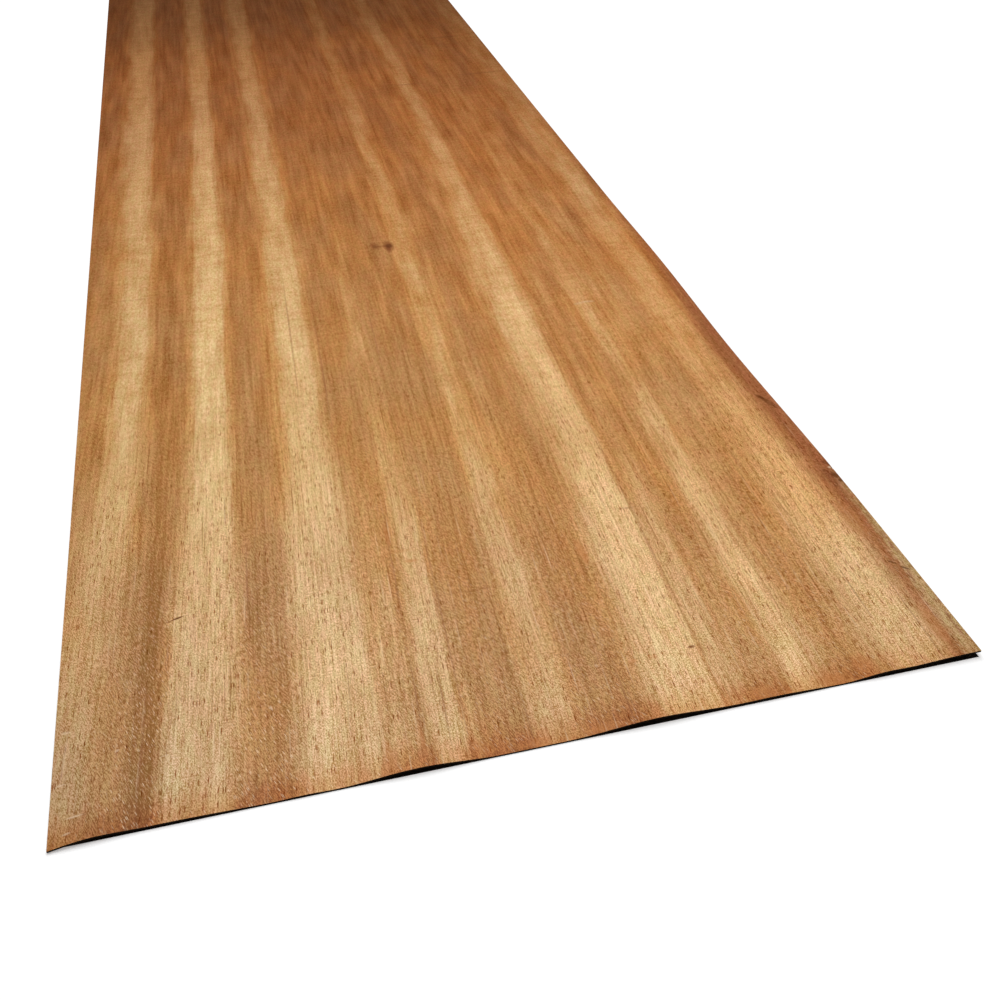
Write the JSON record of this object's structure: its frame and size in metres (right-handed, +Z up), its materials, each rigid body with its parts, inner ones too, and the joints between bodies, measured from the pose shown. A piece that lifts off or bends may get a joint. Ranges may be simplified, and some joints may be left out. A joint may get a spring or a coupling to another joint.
{
  "type": "wood veneer sheet",
  "caption": "Rectangular leaf of thin sliced ribbon-figured hardwood veneer lying on its glue face, with clipped edges and one end buckled into shallow waves along the grain.",
  "frame": {"origin": "centre of the leaf's plan, on the floor that its glue face rests on", "axes": "+X across the grain to the lifted edge, +Y along the grain from the buckled end to the flat end, +Z up out of the show face"},
  "size_m": [0.25, 0.915, 0.0028],
  "materials": {
    "ribbon_veneer": "raw, as sliced, open pores"
  },
  "bodies": {
    "root": {"veneer_sheet": "ribbon_veneer"}
  },
  "joints": []
}
